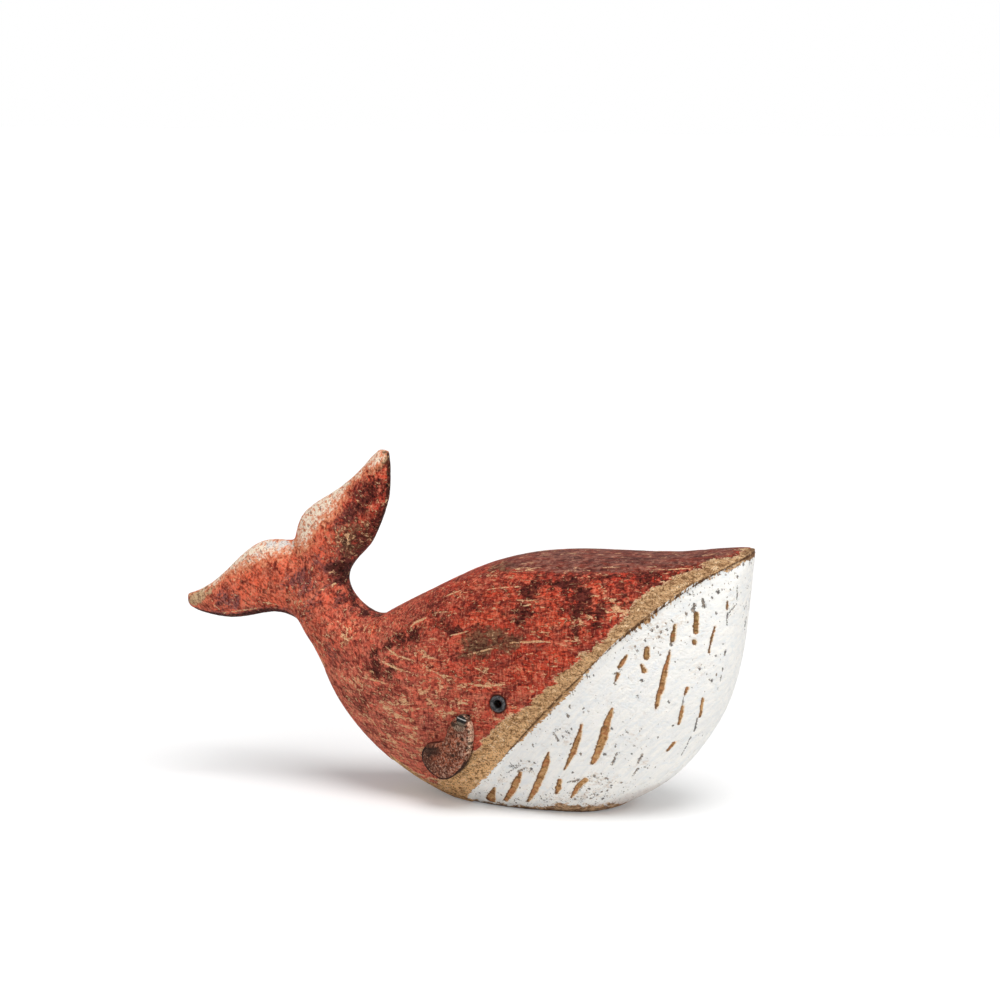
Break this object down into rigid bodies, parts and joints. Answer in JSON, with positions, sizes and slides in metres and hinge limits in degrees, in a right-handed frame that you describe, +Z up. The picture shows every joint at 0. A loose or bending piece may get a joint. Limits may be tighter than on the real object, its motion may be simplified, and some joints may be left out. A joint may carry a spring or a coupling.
{
  "type": "whale figurine",
  "caption": "Hand-carved wooden whale ornament with a flat belly cut, raised tail flukes, nailed side fins, eyelet eyes and a scraped, gouged white jaw.",
  "frame": {"origin": "on the flat resting face under the belly, below the middle of the whole figure's bounding box", "axes": "+X towards the whale's snout, along its length; +Y towards the whale's left side; +Z up"},
  "size_m": [0.2003, 0.0652, 0.1167],
  "materials": {
    "body_wood": "worn vermilion paint over tan wood, white brushed jaw",
    "tail_wood": "worn vermilion paint over tan wood",
    "dowel_wood": "plain turned wood, hidden",
    "fin_wood": "dark brown stained, rough",
    "tack_metal": "black, a little worn",
    "eyelet_metal": "tarnished grey-brown"
  },
  "bodies": {
    "root": {"body": "body_wood", "tail": "tail_wood", "tail_dowel": "dowel_wood", "fin_right": "fin_wood", "fin_left": "fin_wood", "fin_nail_right": "tack_metal", "fin_nail_left": "tack_metal", "eye_right": "eyelet_metal", "eye_left": "eyelet_metal"}
  },
  "joints": []
}
